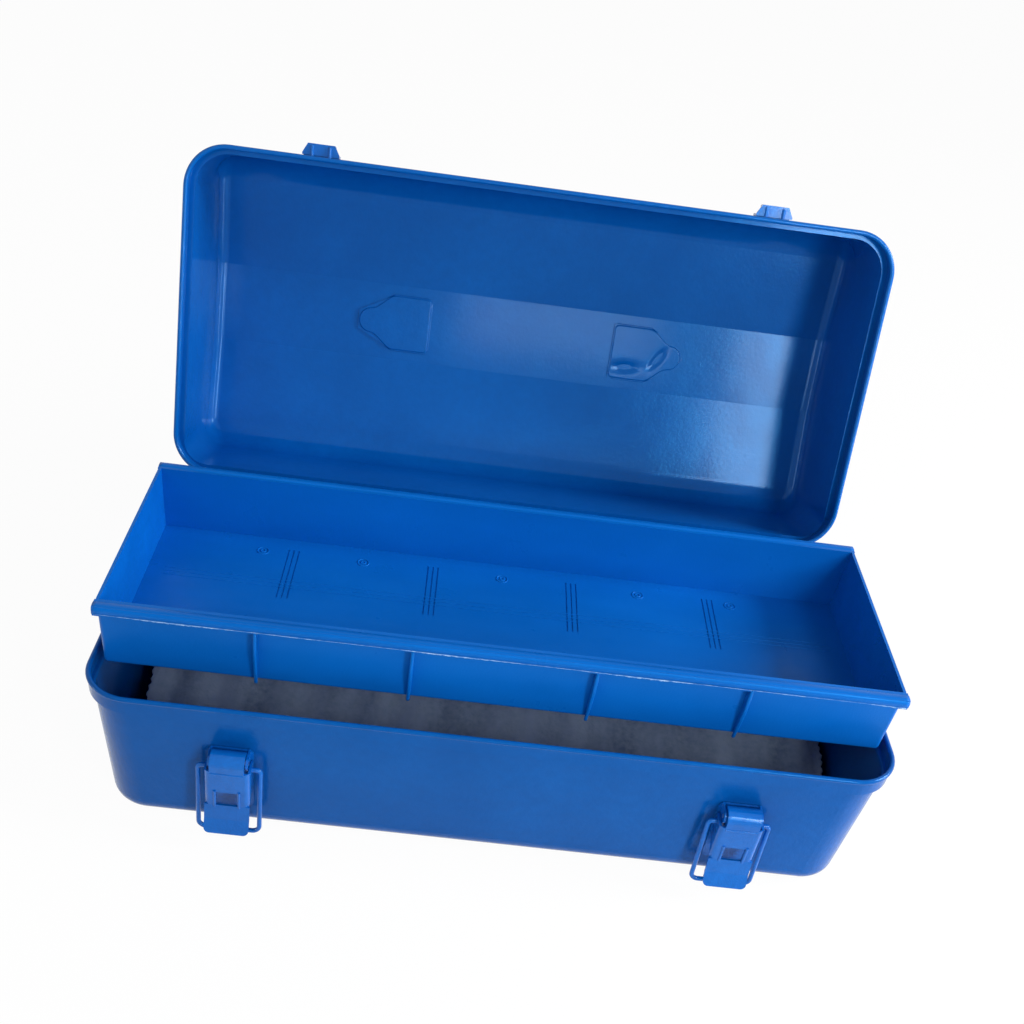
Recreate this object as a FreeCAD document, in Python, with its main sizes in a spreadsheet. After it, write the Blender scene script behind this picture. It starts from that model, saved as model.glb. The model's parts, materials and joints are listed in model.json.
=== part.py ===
import FreeCAD, Part
import math
import os
import re
import Sketcher
from FreeCAD import Placement, Rotation, Vector

# Portable pressed-steel tool box: lower box, domed lid, lift-out tray.
# Frame: origin on the floor at the middle of the underside, X along the
# length, -Y to the front with the latches, +Z up.  Millimetres and degrees.

doc = FreeCAD.newDocument("tool_box")
sheet = doc.addObject("Spreadsheet::Sheet", "sizes")

SIZES = {
    # lower box: a drawn tub under an upright band with a rolled rim
    "box_length": 430.0,
    "box_depth": 200.0,
    "box_height": 90.0,
    "corner_radius": 26.0,
    "box_wall": 1.0,
    "bead_radius": 1.4,
    "band_height": 9.0,
    "band_step": 2.5,
    "end_draft": 6.0,
    "side_draft": 1.0,
    "base_edge_radius": 10.0,
    # lid: same outline, stepped in above its own band, three roof facets
    "lid_wall": 0.7,
    "lid_band_height": 8.0,
    "lid_step": 3.6,
    "rim_gap": 0.4,
    "roof_height": 92.1,
    "roof_flat_share": 0.264,
    "eave_drop": 9.9,
    "shoulder_radius": 19.0,
    "shoulder_corner_radius": 15.0,
    "end_edge_radius": 7.0,
    "pad_depth": 1.2,
    "pad_half_height": 18.0,
    "pad_inner_x": 64.0,
    "pad_taper_x": 88.0,
    "pad_tip_x": 112.0,
    "pad_tip_half": 6.0,
    # hinges on the back wall
    "open_angle": 108.5,
    "hinge_x": 130.0,
    "hinge_width": 30.0,
    "hinge_out": 3.4,
    "knuckle_radius": 3.0,
    "hinge_pin_radius": 1.3,
    "hinge_pin_head_radius": 2.2,
    "hinge_pin_head": 1.0,
    "leaf_thickness": 1.2,
    "leaf_flange": 20.0,
    "leaf_side_gap": 0.3,
    # latches on the front wall
    "latch_x": 136.0,
    "latch_pivot_height": 58.0,
    "latch_plate": 1.2,
    "latch_plate_half_width": 12.0,
    "latch_plate_above": 3.0,
    "latch_plate_below": 40.0,
    "latch_ear_inner": 9.3,
    "latch_ear_radius": 3.6,
    "latch_pin_radius": 1.3,
    "lever_barrel_radius": 5.8,
    "lever_barrel_half_width": 9.0,
    "lever_half_width": 12.0,
    "lever_sheet": 1.2,
    "lever_shoulder_drop": 3.0,
    "lever_flange_back": 4.8,
    "lever_back_drop": 14.0,
    "lever_window_top": 18.0,
    "lever_window_drop": 28.0,
    "lever_window_half_width": 5.6,
    "lever_plate_drop": 37.5,
    "lever_plate_flare": 1.4,
    "lever_lip_drop": 45.5,
    "lever_lip_out": 10.5,
    "lever_corner_radius": 3.0,
    "bail_wire_radius": 1.3,
    "bail_pivot_in": 1.5,
    "bail_pivot_drop": 6.0,
    "bail_half_width": 16.4,
    "bail_bend_radius": 4.0,
    "bail_rest_angle": 4.0,
    "bail_hook_radius": 2.2,
    "bail_end_x": 9.6,
    "keeper_half_width": 11.0,
    "keeper_sheet": 1.2,
    "keeper_flange": 9.0,
    "keeper_taper": 3.0,
    "keeper_hook_height": 3.6,
    "keeper_pocket": 4.2,
    "keeper_lip": 2.6,
    # lift-out tray
    "tray_end_gap": 7.0,
    "tray_front_gap": 21.8,
    "tray_back_gap": 41.8,
    "tray_height": 42.0,
    "tray_wall": 1.6,
    "tray_floor": 2.0,
    "tray_flange": 4.8,
    "tray_lip": 4.2,
    "tray_lip_wall": 1.4,
    "tray_end_draft": 1.0,
    "tray_side_draft": 0.8,
    "tray_corner_radius": 2.5,
    "tray_seat_drop": 2.0,
    "fin_thickness": 1.3,
    "fin_inner_x": 47.5,
    "fin_outer_x": 127.5,
    "fin_overhang": 1.5,
    "mark_depth": 0.4,
    "mark_width": 0.8,
    "mark_pitch": 3.0,
    "mark_inner_x": 42.0,
    "mark_outer_x": 126.0,
    "mark_front_y": 5.0,
    "mark_back_y": 51.0,
    "rest_reach": 14.0,
    "rest_length": 60.0,
    "rest_sheet": 1.5,
    "rest_drop": 16.0,
    "tray_ear": 0.5,
    # packing-foam sheet bowed up between the front and back walls
    "foam_rise": 38.0,
    "foam_thickness": 4.0,
    # handle on the roof of the lid
    "handle_axis_height": 7.0,
    "handle_rod_radius": 3.0,
    "handle_leg_x": 60.0,
    "handle_leg": 38.0,
    "handle_bend_radius": 6.0,
    "handle_head_radius": 4.2,
    "handle_head": 1.5,
    "eye_inner_x": 68.0,
    "eye_width": 10.0,
    "eye_radius": 5.6,
    "grip_radius": 8.0,
    "grip_half_length": 50.0,
    "grip_end_radius": 2.0,
    "bracket_thickness": 1.2,
    # clearances and cutting overrun
    "seat_gap": 0.3,
    "side_gap": 0.3,
    "pin_running": 0.05,
    "pin_seat": 0.02,
    "overrun": 5.0,
}

# Places worked out from the sizes above, each a formula of their names.
PLACES = {
    "half_length": "box_length / 2",
    "half_depth": "box_depth / 2",
    "band_x": "half_length - bead_radius + box_wall / 2",
    "band_y": "half_depth - bead_radius + box_wall / 2",
    "band_radius": "corner_radius - bead_radius + box_wall / 2",
    "band_base": "box_height - bead_radius - band_height",
    "tub_x": "band_x - band_step",
    "tub_y": "band_y - band_step",
    "tub_radius": "band_radius - band_step",
    "rim_path_x": "half_length - bead_radius",
    "rim_path_y": "half_depth - bead_radius",
    "rim_path_radius": "corner_radius - bead_radius",
    "lid_rim": "box_height + rim_gap",
    "lid_band_x": "half_length - bead_radius + lid_wall / 2",
    "lid_band_y": "half_depth - bead_radius + lid_wall / 2",
    "lid_band_radius": "corner_radius - bead_radius + lid_wall / 2",
    "lid_band_top": "lid_rim + bead_radius + lid_band_height",
    "lid_x": "lid_band_x - lid_step",
    "lid_y": "lid_band_y - lid_step",
    "lid_radius": "lid_band_radius - lid_step",
    "roof": "lid_rim + roof_height",
    "roof_flat_half": "lid_y * roof_flat_share",
    "eave": "roof - eave_drop",
    "roof_slope": "eave_drop / (lid_y - roof_flat_half)",
    "hinge_y": "half_depth + hinge_out",
    "hinge_z": "box_height + rim_gap / 2",
    "lid_move_y": "hinge_y - hinge_y * cos(open_angle) - hinge_z * sin(open_angle)",
    "lid_move_z": "hinge_z + hinge_y * sin(open_angle) - hinge_z * cos(open_angle)",
    "leaf_in": "half_depth + seat_gap",
    "leaf_out": "leaf_in + leaf_thickness",
    "knuckle_clear": "knuckle_radius + side_gap",
    "knuckle_end": "hinge_width / 6",
    "latch_plate_top": "latch_pivot_height + latch_plate_above",
    "latch_wall": "tub_y - side_draft * (band_base - latch_plate_top) / band_base",
    "latch_plate_back": "latch_wall + seat_gap",
    "latch_pivot_y": "latch_plate_back + latch_plate + side_gap + lever_barrel_radius",
    "latch_plate_depth": "latch_pivot_y - latch_plate_back",
    "latch_ear_outer": "latch_ear_inner + latch_plate",
    "keeper_back": "half_depth + seat_gap",
    "keeper_front": "keeper_back + keeper_sheet",
    "keeper_wall_back": "lid_y + seat_gap",
    "keeper_wall_front": "keeper_wall_back + keeper_sheet",
    "keeper_step": "lid_band_top + seat_gap",
    "keeper_top": "keeper_step + keeper_sheet + keeper_flange",
    "keeper_hook": "lid_rim + keeper_hook_height",
    "keeper_ledge": "keeper_hook + keeper_sheet",
    "keeper_pocket_end": "keeper_front + keeper_pocket",
    "keeper_nose": "keeper_pocket_end + keeper_sheet",
    "hook_bar_y": "keeper_front + keeper_pocket / 2",
    "hook_bar_z": "keeper_ledge + bail_wire_radius + side_gap",
    "bail_y": "latch_pivot_y - bail_pivot_in",
    "bail_z": "latch_pivot_height - bail_pivot_drop",
    "bail_length": "sqrt((hook_bar_y - bail_y)^2 + (hook_bar_z - bail_z)^2)",
    "tray_seat": "box_height - tray_seat_drop",
    "tray_base": "tray_seat + seat_gap",
    "tray_x": "half_length - tray_end_gap",
    "tray_top_y": "half_depth - (tray_front_gap + tray_back_gap) / 2",
    "tray_forward": "(tray_back_gap - tray_front_gap) / 2",
    "tray_y": "tray_top_y - tray_flange",
    "rest_foot_lean": "end_draft * (band_base - tray_seat + rest_drop) / band_base",
    "rest_x": "tub_x - rest_foot_lean - box_wall - seat_gap",
    "foam_end": "tub_x - end_draft - base_edge_radius",
    "foam_half": "tub_y - side_draft - base_edge_radius",
    "foam_radius": "(foam_half^2 + foam_rise^2) / (2 * foam_rise)",
    "foam_base": "box_wall + seat_gap",
    "foam_centre": "foam_base + foam_rise - foam_radius",
    "foam_under_radius": "foam_radius - foam_thickness",
    "foam_under_half": "sqrt(foam_under_radius^2 - (foam_base - foam_centre)^2)",
    "handle_axis": "roof + handle_axis_height",
    "eye_outer_x": "eye_inner_x + eye_width",
    "plate_base": "seat_gap - pad_depth",
}

for row, (name, value) in enumerate((SIZES | PLACES).items(), start=1):
    sheet.set(f"A{row}", name)
    sheet.set(f"B{row}", str(value) if name in SIZES else f"={value}")
    sheet.setAlias(f"B{row}", name)
doc.recompute()


def formula(text):
    """A formula of plain size names as an expression on the sheet."""
    def named(match):
        word = match.group(0)
        return f"sizes.{word}" if word in SIZES or word in PLACES else word
    return re.sub(r"[a-z_]\w*", named, str(text))


def size(text):
    return float(sheet.evalExpression(formula(text)))


def part(label):
    body = doc.addObject("PartDesign::Body", label)
    body.Label = label
    doc.recompute()
    return body


def attach(item, body, role, offset=None):
    """Seats a sketch or primitive on one of the body's own origin planes."""
    planes = body.Origin.OriginFeatures
    item.AttachmentSupport = [(next(p for p in planes if p.Role == role), "")]
    item.MapMode = "FlatFace"
    for axis, text in zip("xyz", offset or ()):
        item.setExpression(f"AttachmentOffset.Base.{axis}", formula(text))


def place(body, x, y, z, angle="0"):
    """Moves a finished body to its place, turned about X."""
    body.Placement = Placement(Vector(), Rotation(Vector(1, 0, 0), size(angle)))
    for axis, text in zip("xyz", (x, y, z)):
        body.setExpression(f"Placement.Base.{axis}", formula(text))
    body.setExpression("Placement.Rotation.Angle", formula(angle))
    doc.recompute()


def sketch(body, label, role, height="0"):
    item = body.newObject("Sketcher::SketchObject", label)
    attach(item, body, role, ("0", "0", height))
    return item


def pin_point(item, geometry, end, x, y):
    for kind, text in (("DistanceX", x), ("DistanceY", y)):
        rule = Sketcher.Constraint(kind, -1, 1, geometry, end, size(text))
        item.setExpression(f"Constraints[{item.addConstraint(rule)}]", formula(text))


def arc_between(start, end, radius, turn):
    """The short arc from start to end, anticlockwise for turn 1, clockwise for -1."""
    chord = end - start
    side = Vector(-chord.y, chord.x, 0).normalize() * turn
    rise = math.sqrt(max(radius ** 2 - (chord.Length / 2) ** 2, 0))
    centre = (start + end) * 0.5 + side * rise
    first, last = (start, end) if turn > 0 else (end, start)
    angles = [math.atan2(p.y - centre.y, p.x - centre.x) for p in (first, last)]
    return Part.ArcOfCircle(Part.Circle(centre, Vector(0, 0, 1), radius), *angles)


def outline(item, points, closed=True):
    """Draws a chain of lines and arcs, each point (x, y) or (x, y, radius, turn)."""
    spots = [Vector(size(p[0]), size(p[1]), 0) for p in points]
    count = len(points) if closed else len(points) - 1
    ends = []
    for i in range(count):
        here, there = spots[i], spots[(i + 1) % len(points)]
        if len(points[i]) == 2:
            ends.append((item.addGeometry(Part.LineSegment(here, there)), 1, 2))
            continue
        text, turn = points[i][2:]
        edge = item.addGeometry(arc_between(here, there, size(text), turn))
        rule = item.addConstraint(Sketcher.Constraint("Radius", edge, size(text)))
        item.setExpression(f"Constraints[{rule}]", formula(text))
        ends.append((edge, 1, 2) if turn > 0 else (edge, 2, 1))
    for i in range(count if closed else count - 1):
        (a, _, a_end), (b, b_start, _) = ends[i], ends[(i + 1) % count]
        item.addConstraint(Sketcher.Constraint("Coincident", a, a_end, b, b_start))
    for (edge, start, _), point in zip(ends, points):
        pin_point(item, edge, start, *point[:2])
    if not closed:
        pin_point(item, ends[-1][0], ends[-1][2], *points[-1][:2])


def rectangle_points(x, y, radius=None):
    """Corners of a rectangle about the middle, rounded where a radius is given."""
    if radius is None:
        return [(f"-({x})", f"-({y})"), (x, f"-({y})"), (x, y), (f"-({x})", y)]
    points = []
    for sx, sy in ((1, -1), (1, 1), (-1, 1), (-1, -1)):
        along = (f"{sx} * ({x} - {radius})", f"{sy} * ({y})")
        across = (f"{sx} * ({x})", f"{sy} * ({y} - {radius})")
        pair = (along, across) if sx * sy < 0 else (across, along)
        points += [(*pair[0], radius, 1), pair[1]]
    return points


def circle(item, x, y, radius):
    spot = Vector(size(x), size(y), 0)
    edge = item.addGeometry(Part.Circle(spot, Vector(0, 0, 1), size(radius)))
    pin_point(item, edge, 3, x, y)
    rule = item.addConstraint(Sketcher.Constraint("Radius", edge, size(radius)))
    item.setExpression(f"Constraints[{rule}]", formula(radius))


def pad(body, label, profile, length, both=True, cut=False, back=False):
    """Pads or pockets a sketch, both ways from its plane or one way only."""
    before = size_of(body)
    item = body.newObject("PartDesign::Pocket" if cut else "PartDesign::Pad", label)
    item.Profile = profile
    item.Midplane = both
    item.Reversed = back
    item.setExpression("Length", formula(length))
    doc.recompute()
    if cut and not item.Shape.Volume < before:
        raise ValueError(f"{label} cuts nothing")
    return item


def size_of(body):
    return 0 if body.Tip is None or body.Shape.isNull() else body.Shape.Volume


def block(body, label, x, y, z, cut=False):
    """A box between pairs of places along X, Y and Z, added or cut away."""
    before = size_of(body)
    kind = "PartDesign::SubtractiveBox" if cut else "PartDesign::AdditiveBox"
    item = body.newObject(kind, label)
    attach(item, body, "XY_Plane", (x[0], y[0], z[0]))
    for side, (low, high) in zip(("Length", "Width", "Height"), (x, y, z)):
        item.setExpression(side, formula(f"({high}) - ({low})"))
    doc.recompute()
    if cut and not body.Shape.Volume < before:
        raise ValueError(f"{label} cuts nothing")
    return item


def rod(body, label, y, z, radius, low, high, cut=False):
    """A cylinder along X from low to high, about the line at y, z."""
    before = size_of(body)
    kind = "PartDesign::SubtractiveCylinder" if cut else "PartDesign::AdditiveCylinder"
    item = body.newObject(kind, label)
    attach(item, body, "YZ_Plane", (y, z, low))
    item.setExpression("Radius", formula(radius))
    item.setExpression("Height", formula(f"({high}) - ({low})"))
    doc.recompute()
    if cut and not body.Shape.Volume < before:
        raise ValueError(f"{label} cuts nothing")
    return item


# an edge shorter than this along an axis lies square to that axis
tiny = size("pin_running")


def edges(feature, test):
    found = enumerate(feature.Shape.Edges, start=1)
    return [f"Edge{i}" for i, edge in found if test(edge.BoundBox)]


def soften(body, label, feature, test, radius):
    """Rounds the edges of a feature whose bounds pass the test."""
    item = body.newObject("PartDesign::Fillet", label)
    item.Base = (feature, edges(feature, test))
    item.setExpression("Radius", formula(radius))
    doc.recompute()
    return item


def hollow(body, label, feature, test, wall):
    """Leaves a sheet of one thickness, open at the faces that pass the test."""
    faces = enumerate(feature.Shape.Faces, start=1)
    item = body.newObject("PartDesign::Thickness", label)
    item.Base = (feature, [f"Face{i}" for i, face in faces if test(face.BoundBox)])
    item.Reversed = True
    item.setExpression("Value", formula(wall))
    doc.recompute()
    return item


def pipe(body, label, path, profile):
    item = body.newObject("PartDesign::AdditivePipe", label)
    item.Profile = profile
    item.Spine = (path, [f"Edge{i + 1}" for i in range(len(path.Shape.Edges))])
    doc.recompute()
    return item


def rim_bead(body, height):
    """Rolled edge that runs round the rim outline, centred on the band's sheet."""
    path = sketch(body, "rim_path", "XY_Plane", height)
    outline(path, rectangle_points("rim_path_x", "rim_path_y", "rim_path_radius"))
    section = sketch(body, "rim_section", "XZ_Plane")
    circle(section, "rim_path_x", height, "bead_radius")
    doc.recompute()
    return pipe(body, "rim_bead", path, section)


def trough_solid(body, label, x, y, z, cut=False):
    """A block with leaning sides; x, y and z each hold the foot and top value."""
    kind = "PartDesign::SubtractiveWedge" if cut else "PartDesign::AdditiveWedge"
    item = body.newObject(kind, label)
    attach(item, body, "XZ_Plane")
    for name, text in (
        ("Xmin", f"-({x[0]})"), ("Xmax", x[0]), ("X2min", f"-({x[1]})"), ("X2max", x[1]),
        ("Zmin", f"-({y[0]})"), ("Zmax", y[0]), ("Z2min", f"-({y[1]})"), ("Z2max", y[1]),
        ("Ymin", z[0]), ("Ymax", z[1]),
    ):
        item.setExpression(name, formula(text))
    doc.recompute()
    return item


# lower box
box = part("box_body")
tub = trough_solid(
    box, "tub", ("tub_x - end_draft", "tub_x"), ("tub_y - side_draft", "tub_y"), ("0", "band_base"),
)
tall = size("band_base") / 2
tub = soften(box, "tub_corners", tub, lambda b: b.ZLength > tall, "tub_radius")
tub = soften(box, "tub_base", tub, lambda b: b.ZMax < tall, "base_edge_radius")
band_plan = sketch(box, "band_plan", "XY_Plane", "band_base")
outline(band_plan, rectangle_points("band_x", "band_y", "band_radius"))
band = pad(box, "band", band_plan, "band_height", both=False)
rim_level = size("band_base + band_height / 2")
hollow(box, "tub_sheet", band, lambda b: b.ZMin > rim_level, "box_wall")
rim_bead(box, "box_height - bead_radius")

# lid, drawn closed on the box and swung open at the end
def corner_radii(solid, inset):
    """Edges round both ends with the radius at each end of the edge: the wide plan
    corner narrows up the walls, then over the shoulders to the tight edge of the roof."""
    wide, tight = size(f"lid_radius - {inset}"), size(f"end_edge_radius - {inset}")
    eased = size(f"shoulder_corner_radius - {inset}")
    foot = size("lid_band_top + side_gap")
    radii = []
    for number, edge in enumerate(solid.Shape.Edges, start=1):
        bounds = edge.BoundBox
        if bounds.XLength > foot or bounds.ZMax < foot:
            continue
        climbs = edge.Vertexes[0].Z < edge.Vertexes[-1].Z
        if bounds.YLength < tiny:
            radii.append((number, wide, eased) if climbs else (number, eased, wide))
        elif edge.Curve.TypeId == "Part::GeomCircle":
            radii.append((number, eased, tight) if climbs else (number, tight, eased))
        else:
            radii.append((number, tight, tight))
    return radii


def dome(label, inset):
    """The lid as a solid, or its hollow where the inset is the sheet's thickness."""
    body = part(f"{label}_facets")
    x, y = f"(lid_x - {inset})", f"(lid_y - {inset})"
    base, eave = f"lid_band_top - {inset}", f"eave - {inset} * (1 - roof_slope)"
    flat, top = f"(roof_flat_half - {inset} * roof_slope / 2)", f"roof - {inset}"
    profile = sketch(body, "roof_profile", "YZ_Plane")
    outline(profile, [
        (f"-{y}", base), (y, base), (y, eave), (flat, top), (f"-{flat}", top), (f"-{y}", eave),
    ])
    solid = pad(body, "facets", profile, f"2 * {x}")
    wide = size("lid_x")
    edge_low, edge_high = size("eave - side_gap - lid_wall"), size("eave + side_gap")
    solid = soften(
        body, "shoulders", solid,
        lambda b: b.XLength > wide and edge_low < b.ZMin and b.ZMax < edge_high,
        f"shoulder_radius - {inset}",
    )
    corners = doc.addObject("Part::Fillet", "lid_corners")
    corners.Base = solid
    corners.Edges = corner_radii(solid, inset)
    doc.recompute()
    body = part(label)
    body.BaseFeature = corners
    doc.recompute()
    foot = f"lid_rim + bead_radius - {inset}"
    band_plan = sketch(body, "band_plan", "XY_Plane", foot)
    outline(band_plan, rectangle_points(
        f"(lid_band_x - {inset})", f"(lid_band_y - {inset})", f"(lid_band_radius - {inset})",
    ))
    pad(body, "band", band_plan, "lid_band_height", both=False)
    seats = sketch(body, "recess_plan", "XY_Plane", top)
    for turn in ("1", "-1"):
        near, bend, tip = (
            f"{turn} * (pad_inner_x - {inset})", f"{turn} * (pad_taper_x + {inset} / 2)",
            f"{turn} * (pad_tip_x + {inset})",
        )
        wide_y, thin_y = f"(pad_half_height + {inset})", f"(pad_tip_half + {inset} / 2)"
        outline(seats, [
            (near, f"-{wide_y}"), (bend, f"-{wide_y}"), (tip, f"-{thin_y}"),
            (tip, thin_y), (bend, wide_y), (near, wide_y),
        ])
    pad(body, "handle_seats", seats, "pad_depth", both=False, cut=True)
    return body


lid_hollow = dome("lid_hollow", "lid_wall")
lid = dome("lid_shell", "0")
press = lid.newObject("PartDesign::Boolean", "pressed_sheet")
press.Type = "Cut"
press.setObjects([lid_hollow])
doc.recompute()
rim_bead(lid, "lid_rim + bead_radius")
place(lid, "0", "lid_move_y", "lid_move_z", "-open_angle")

SIDES = (("left", "-1"), ("right", "1"))


# hinges: two knuckles on the box, one on the lid between them, and a pin
def hinge_leaf(label, foot, joggle, wall_in, end, knuckles):
    """A strip that leaves its knuckles, clears the band and lies on the wall."""
    body = part(label)
    profile = sketch(body, "strip", "YZ_Plane")
    out = f"{wall_in} + leaf_thickness"
    outline(profile, [
        ("leaf_in", "hinge_z"), ("leaf_out", "hinge_z"), ("leaf_out", f"{foot} + {joggle}"),
        (out, f"{foot} + {joggle}"), (out, end), (wall_in, end), (wall_in, foot),
        ("leaf_in", foot),
    ])
    pad(body, "leaf", profile, "hinge_width")
    for number, (low, high) in enumerate(knuckles):
        rod(body, f"knuckle_{number}", "hinge_y", "hinge_z", "knuckle_radius", low, high)
    return body


for side, turn in SIDES:
    inner, outer = "knuckle_end", "hinge_width / 2"
    leaf = hinge_leaf(
        f"hinge_leaf_box_{side}", "band_base - seat_gap", "-leaf_thickness",
        "tub_y + seat_gap", "band_base - leaf_flange",
        ((f"-({outer})", f"-{inner}"), (inner, outer)),
    )
    gap = f"({inner} + leaf_side_gap / 2)"
    block(
        leaf, "lid_knuckle_room", (f"-{gap}", gap),
        ("half_depth", "leaf_out + overrun"), ("hinge_z - knuckle_clear", "hinge_z + overrun"),
        cut=True,
    )
    rod(leaf, "pin_bore", "hinge_y", "hinge_z", "hinge_pin_radius + pin_seat",
        f"-({outer})", outer, cut=True)
    place(leaf, f"{turn} * hinge_x", "0", "0")

    leaf = hinge_leaf(
        f"hinge_leaf_lid_{side}", "lid_band_top + seat_gap", "leaf_thickness",
        "lid_y + seat_gap", "lid_band_top + leaf_flange",
        ((f"-({inner} - leaf_side_gap / 2)", f"{inner} - leaf_side_gap / 2"),),
    )
    for label, low, high in (
        ("room_left", f"-({outer} + overrun)", f"-({inner} - leaf_side_gap / 2)"),
        ("room_right", f"{inner} - leaf_side_gap / 2", f"{outer} + overrun"),
    ):
        block(
            leaf, label, (low, high), ("half_depth", "leaf_out + overrun"),
            ("hinge_z - overrun", "hinge_z + knuckle_clear"), cut=True,
        )
    rod(leaf, "pin_bore", "hinge_y", "hinge_z", "hinge_pin_radius + pin_running",
        f"-({outer})", outer, cut=True)
    place(leaf, f"{turn} * hinge_x", "lid_move_y", "lid_move_z", "-open_angle")

    pin = part(f"hinge_pin_{side}")
    end = f"({outer} + seat_gap)"
    rod(pin, "shank", "0", "0", "hinge_pin_radius", f"-{end}", end)
    for label, low, high in (
        ("head", end, f"{end} + hinge_pin_head"), ("peened_end", f"-({end} + hinge_pin_head)", f"-{end}"),
    ):
        rod(pin, label, "0", "0", "hinge_pin_head_radius", low, high)
    place(pin, f"{turn} * hinge_x", "hinge_y", "hinge_z")


# latches: base plate with two ears, pin, channel lever and wire bail;
# each is drawn about the lever's pivot, with its front towards -Y
def latch_base(side, turn):
    body = part(f"latch_base_{side}")
    back, plate = "latch_plate_depth", "latch_plate"
    width = "latch_plate_half_width"
    block(
        body, "plate", (f"-{width}", width), (f"{back} - {plate}", back),
        ("-latch_plate_below", "latch_plate_above"),
    )
    soften(
        body, "plate_corners", body.Tip, lambda b: max(b.XLength, b.ZLength) < tiny,
        "latch_ear_radius",
    )
    for sign, name in (("-1", "a"), ("1", "b")):
        low, high = sorted((f"{sign} * latch_ear_inner", f"{sign} * latch_ear_outer"), key=size)
        block(body, f"ear_neck_{name}", (low, high), ("0", f"{back} - {plate} / 2"),
              ("-latch_ear_radius", "latch_ear_radius"))
        rod(body, f"ear_{name}", "0", "0", "latch_ear_radius", low, high)
    rod(body, "pin_hole", "0", "0", "latch_pin_radius + pin_seat",
        "-latch_ear_outer", "latch_ear_outer", cut=True)
    place(body, f"{turn} * latch_x", "-latch_pivot_y", "latch_pivot_height")


def latch_pin(side, turn):
    body = part(f"latch_pin_{side}")
    rod(body, "shank", "0", "0", "latch_pin_radius", "-latch_ear_outer", "latch_ear_outer")
    place(body, f"{turn} * latch_x", "-latch_pivot_y", "latch_pivot_height")


def latch_lever(side, turn):
    body = part(f"latch_lever_{side}")
    front, wall, width = "-lever_barrel_radius", "lever_sheet", "lever_half_width"
    channel = sketch(body, "channel_side", "YZ_Plane")
    outline(channel, [
        (front, "-lever_shoulder_drop"), (front, "-lever_window_drop"),
        (f"{front} + {wall}", "-lever_window_drop"), ("lever_flange_back", "-lever_back_drop"),
        ("lever_flange_back", "-lever_shoulder_drop"),
    ])
    solid = pad(body, "channel", channel, f"2 * {width}")
    side_x, front_y = size(f"{width} - side_gap"), size(f"{front} + side_gap")
    tall = size(wall)
    solid = soften(
        body, "front_corners", solid,
        lambda b: abs(b.XMin) > side_x and b.XLength < tiny and b.YMax < front_y and b.ZLength > tall,
        "lever_corner_radius",
    )
    room = sketch(body, "channel_room", "YZ_Plane")
    outline(room, [
        (f"{front} + {wall}", "overrun"), (f"{front} + {wall}", "-lever_window_drop - overrun"),
        ("lever_flange_back + overrun", "-lever_window_drop - overrun"),
        ("lever_flange_back + overrun", "overrun"),
    ])
    inside = f"({width} - {wall})"
    solid = pad(body, "channel_hollow", room, f"2 * {inside}", cut=True)
    strip = sketch(body, "plate_side", "YZ_Plane")
    bend, lip = f"({front} - lever_plate_flare)", "-lever_lip_out"
    outline(strip, [
        (front, "-lever_window_drop"), (bend, "-lever_plate_drop"), (lip, "-lever_lip_drop"),
        (f"{lip} + {wall}", f"-lever_lip_drop - {wall} / 2"),
        (f"{bend} + {wall}", f"-lever_plate_drop - {wall} / 2"),
        (f"{front} + {wall}", "-lever_window_drop"),
    ])
    solid = pad(body, "lower_plate", strip, f"2 * {width}")
    low, high = size("-lever_lip_drop - lever_sheet"), size("-lever_lip_drop + lever_sheet")
    soften(
        body, "lip_corners", solid,
        lambda b: b.XLength < tiny and low < b.ZMin and b.ZMax < high and abs(b.XMin) > side_x,
        "lever_corner_radius",
    )
    block(body, "window", ("-lever_window_half_width", "lever_window_half_width"),
          (f"{front} - overrun", f"{front} + {wall} + side_gap"),
          ("-lever_window_drop", "-lever_window_top"), cut=True)
    rod(body, "barrel", "0", "0", "lever_barrel_radius",
        "-lever_barrel_half_width", "lever_barrel_half_width")
    block(body, "barrel_tail", ("-lever_barrel_half_width", "lever_barrel_half_width"),
          (front, f"{front} + {wall}"), ("-lever_shoulder_drop - lever_sheet", "0"))
    rod(body, "pin_bore", "0", "0", "latch_pin_radius + pin_running",
        f"-{width}", width, cut=True)
    rod(body, "bail_holes", "bail_pivot_in", "-bail_pivot_drop", "bail_wire_radius + pin_running",
        f"-{width}", width, cut=True)
    place(body, f"{turn} * latch_x", "-latch_pivot_y", "latch_pivot_height")


def latch_bail(side, turn):
    """A wire loop about its own pivot; at rest it hangs below the lever's lip."""
    body = part(f"latch_bail_{side}")
    path = sketch(body, "wire_path", "XZ_Plane")
    out, bar = "bail_half_width", "bail_length"
    hook, bend = "bail_hook_radius", "bail_bend_radius"
    outline(path, [
        ("-bail_end_x", "0"), (f"-({out} - {hook})", "0", hook, 1), (f"-{out}", f"-{hook}"),
        (f"-{out}", f"-({bar} - {bend})", bend, 1), (f"-({out} - {bend})", f"-{bar}"),
        (f"{out} - {bend}", f"-{bar}", bend, 1), (out, f"-({bar} - {bend})"),
        (out, f"-{hook}", hook, 1), (f"{out} - {hook}", "0"), ("bail_end_x", "0"),
    ], closed=False)
    section = sketch(body, "wire_section", "YZ_Plane", "-bail_end_x")
    circle(section, "0", "0", "bail_wire_radius")
    doc.recompute()
    pipe(body, "wire", path, section)
    place(body, f"{turn} * latch_x", "-bail_y", "bail_z", "-bail_rest_angle")


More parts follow.
